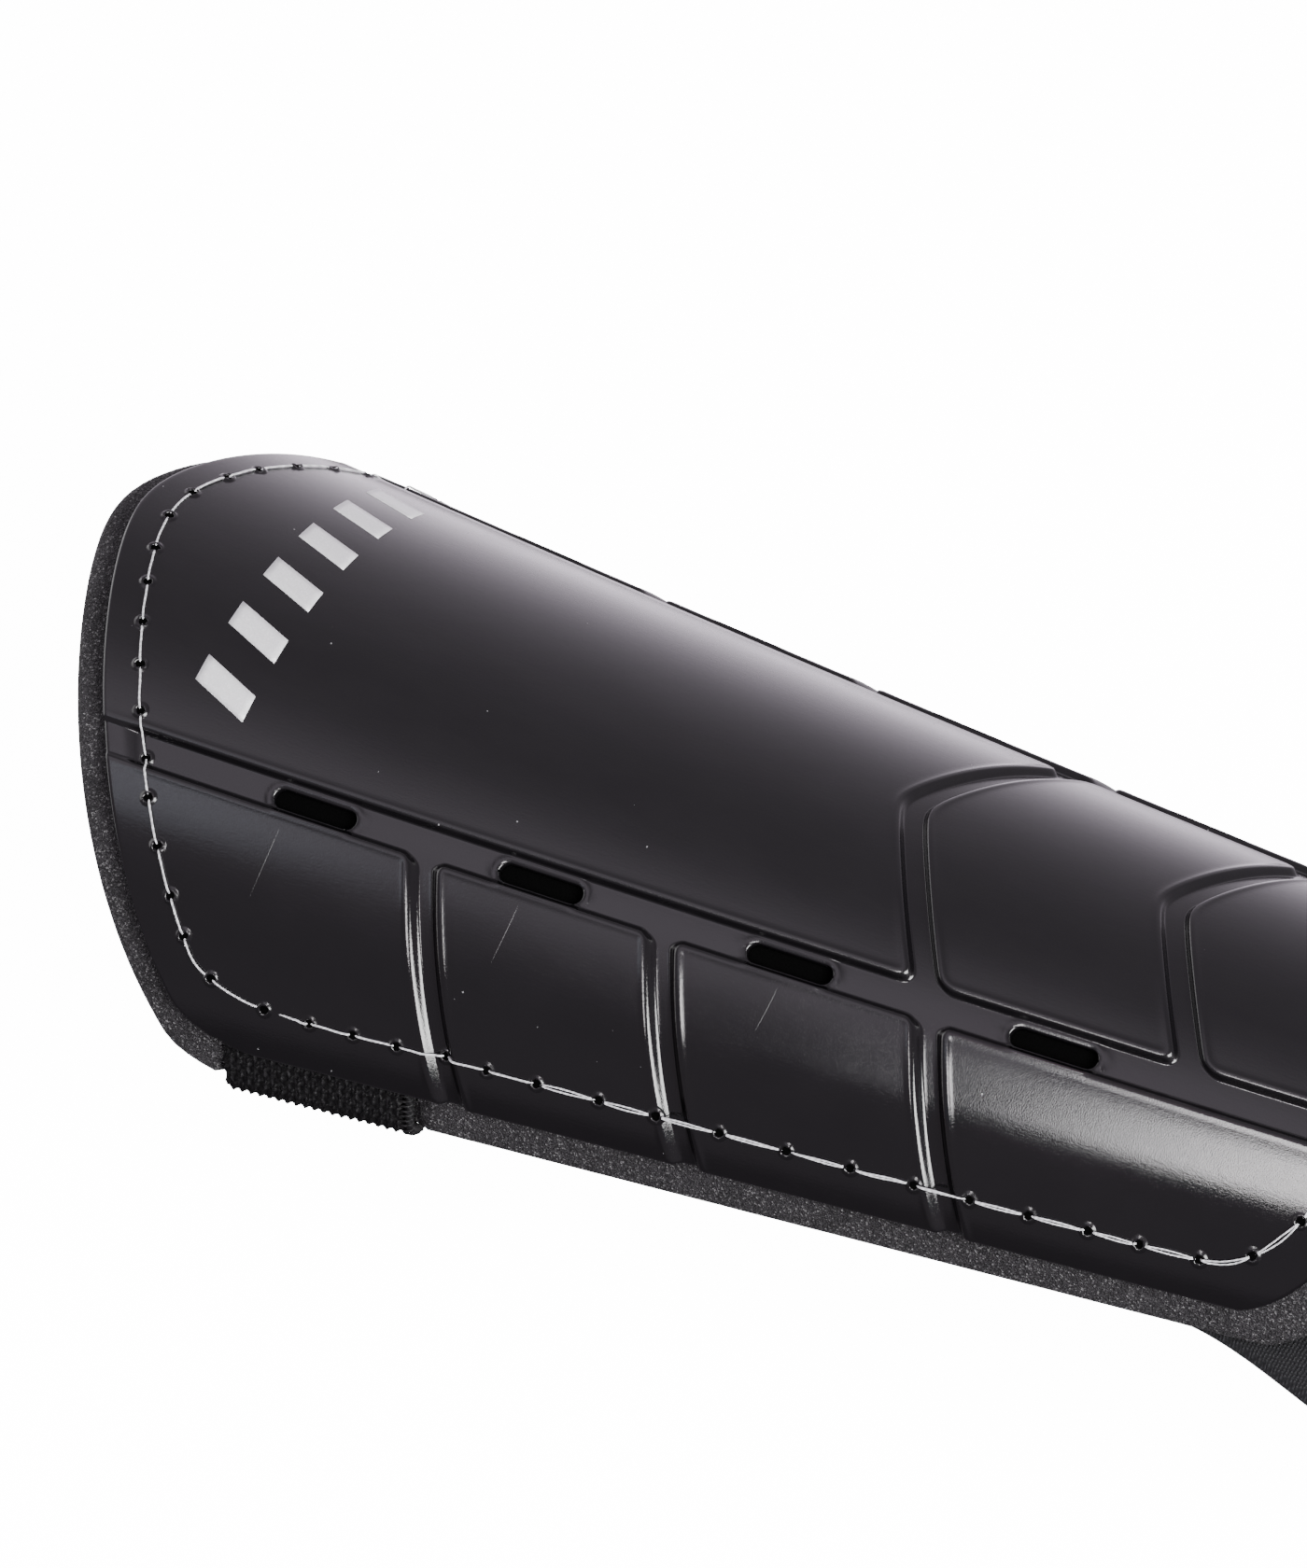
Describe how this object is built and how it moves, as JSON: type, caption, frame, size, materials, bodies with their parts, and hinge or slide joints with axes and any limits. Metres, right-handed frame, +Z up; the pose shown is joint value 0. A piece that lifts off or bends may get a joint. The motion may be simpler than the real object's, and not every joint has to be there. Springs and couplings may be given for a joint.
{
  "type": "football shin guard",
  "caption": "Football shin guard: a grooved, vented hard shell sewn to a foam backing, with a calf strap that opens and a padded knit ankle sleeve that bends.",
  "frame": {"origin": "centre of the bounding box on the plane the guard lies on, hollow side down", "axes": "+X from the knee end to the foot end, +Y away from the side with the strap's sewn end, +Z up through the front of the shell"},
  "size_m": [0.311, 0.1126, 0.062],
  "materials": {
    "shell_black": "polished moulding, near black",
    "foam_charcoal": "cut closed-cell foam, fine grain",
    "lining_black": "fine brushed knit",
    "thread_clear": "clear twisted monofilament",
    "webbing_black": "coarse elastic webbing",
    "edging_black": "overlocked thread",
    "hooks_black": "moulded hook tape",
    "pile_black": "loop pile",
    "knit_black": "ribbed knit with a dotted face"
  },
  "bodies": {
    "guard": {"hard_shell": "shell_black", "foam_backing": "foam_charcoal", "inner_lining": "lining_black", "perimeter_thread": "thread_clear", "strap_anchor": "webbing_black", "anchor_overlock": "edging_black", "loop_tab": "webbing_black", "loop_pile": "pile_black", "ankle_cuff": "knit_black", "cuff_binding": "edging_black", "pad_foam_near": "foam_charcoal", "pad_foam_far": "foam_charcoal", "pad_cover_near": "lining_black", "pad_cover_far": "lining_black"},
    "calf_strap": {"calf_strap": "webbing_black", "strap_overlock": "edging_black", "hook_patch": "hooks_black"},
    "foot_sleeve": {"foot_sleeve": "knit_black", "foot_binding": "edging_black"}
  },
  "joints": [
    {"name": "strap_open", "type": "hinge", "parent": "guard", "child": "calf_strap", "pos_m": [-0.09445, -0.045, 0], "axis": [-1, 0, 0], "range_deg": [0, 150]},
    {"name": "ankle_bend", "type": "hinge", "parent": "guard", "child": "foot_sleeve", "pos_m": [0.10945, 0, 0.0182], "axis": [0, -1, 0], "range_deg": [0, 60]}
  ]
}
